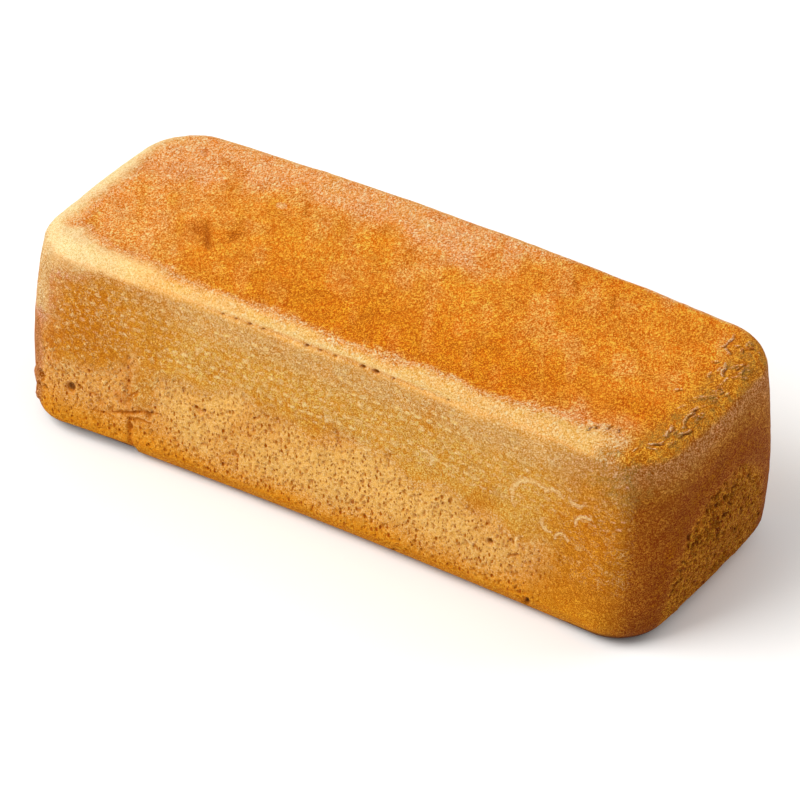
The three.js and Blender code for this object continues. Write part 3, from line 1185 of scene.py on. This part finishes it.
def fine_pores(n, where):
    """1 inside the finest pores, of two sizes, where the crust is porous."""
    porous = n.attribute("porous")
    upright = n.stretched(where, PORE_UPRIGHT)
    small = n.product(n.pores(upright, 0.5, 0.15, 0.36), porous)
    tiny = n.product(n.pores(upright, 1.0, 0.10, 0.32), porous)
    return n.math("MAXIMUM", small, n.product(tiny, 0.9))


def pale_threads(n, where):
    """1 on thin winding threads with gaps between them."""
    ridge = n.vein(n.noise(where, 0.34, 2.0, 1.4))
    pieces = n.ramp(n.noise(where, 0.24, 1.0), 0.42, 0.5)
    return n.product(n.ramp(ridge, 0.022, 0.010), pieces, n.attribute("threads"))


def torn_cracks(n, where):
    """1 in the rim's fine cracks, and 1 on the pale lips beside them."""
    torn = n.attribute("torn")
    split = n.vein(n.noise(n.stretched(where, CRACK_STRETCH), 0.8, 2.0, 1.0))
    pieces = n.ramp(n.noise(where, 0.16, 1.0), 0.48, 0.56)
    crack = n.product(n.ramp(split, 0.026, 0.008), pieces, torn)
    lip = n.product(n.ramp(split, 0.07, 0.04), pieces, torn)
    return crack, lip


def crust_height(n, mottle, grain, specks, pore, thread, crack):
    height = n.product(n.math("SUBTRACT", mottle, 0.5), n.ramp(grain, 0.0, 1.0, *FRECKLE_HEIGHT))
    height = n.math("SUBTRACT", height, n.product(pore, PORE_DEEP))
    height = n.math("ADD", height, n.product(thread, THREAD_HIGH))
    height = n.math("ADD", height, n.product(specks, grain, SPECK_HIGH))
    return n.math("SUBTRACT", height, n.product(crack, CRACK_DEEP))


def crust_material():
    """Crust in mm: pale and dark freckles, fine pores, drawn threads and, on the right rim, fine cracks."""
    material = bpy.data.materials.new("crust")
    material.use_nodes = True
    n = Nodes(material)
    where = n.scaled(n.add("ShaderNodeTexCoord").outputs["Object"], 1.0 / MM)
    ground = n.attribute("toast", "Color")
    grain = n.attribute("grain")
    strokes = n.stretched(where, FRECKLE_STRETCH)
    mottle = freckle_noise(n, strokes)
    specks = pale_specks(n, where, strokes)
    pore = fine_pores(n, where)
    thread = pale_threads(n, where)
    crack, lip = torn_cracks(n, where)

    colour = with_freckles(n, ground, mottle, specks, grain)
    colour = n.mix(pore, colour, n.tinted(colour, PORE_TINT))
    colour = n.mix(n.product(thread, 0.9), colour, THREAD_PALE)
    colour = n.mix(n.product(lip, 0.45), colour, LIP_PALE)
    # Painted shade in the fine cracks.
    colour = n.mix(crack, colour, n.tinted(ground, CRACK_SHADE_TINT))
    height = crust_height(n, mottle, grain, specks, pore, thread, crack)
    bump = n.add("ShaderNodeBump", {"Height": height, "Distance": MM, "Strength": 1.0})

    shader = material.node_tree.nodes["Principled BSDF"]
    n.set(shader.inputs["Base Color"], colour)
    n.set(shader.inputs["Normal"], bump.outputs["Normal"])
    n.set(shader.inputs["Roughness"], n.ramp(mottle, 0.3, 0.7, *ROUGHNESS))
    n.set(shader.inputs["Specular IOR Level"], SPECULAR)
    return material


# ---- the scene


def build_loaf():
    crust = Crust()
    marks = mark_crust(crust)
    regions = Regions(crust)
    colour = colour_crust(crust, marks, regions)
    shape_crust(crust, marks, regions)
    crust.place = fit_to_box(crust.place)
    values = surface_values(marks, regions)
    piece = build_mesh(crust, under_freckles(colour, values["grain"]), values)
    piece.data.materials.append(crust_material())
    return piece


centre = sum((Vector(corner) for corner in CAD_BOX), Vector()) / 2
add_camera(centre)
light_studio(centre)
bpy.context.scene.view_settings.view_transform = "Standard"

loaf = build_loaf()
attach(loaf, "root")
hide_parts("loaf")
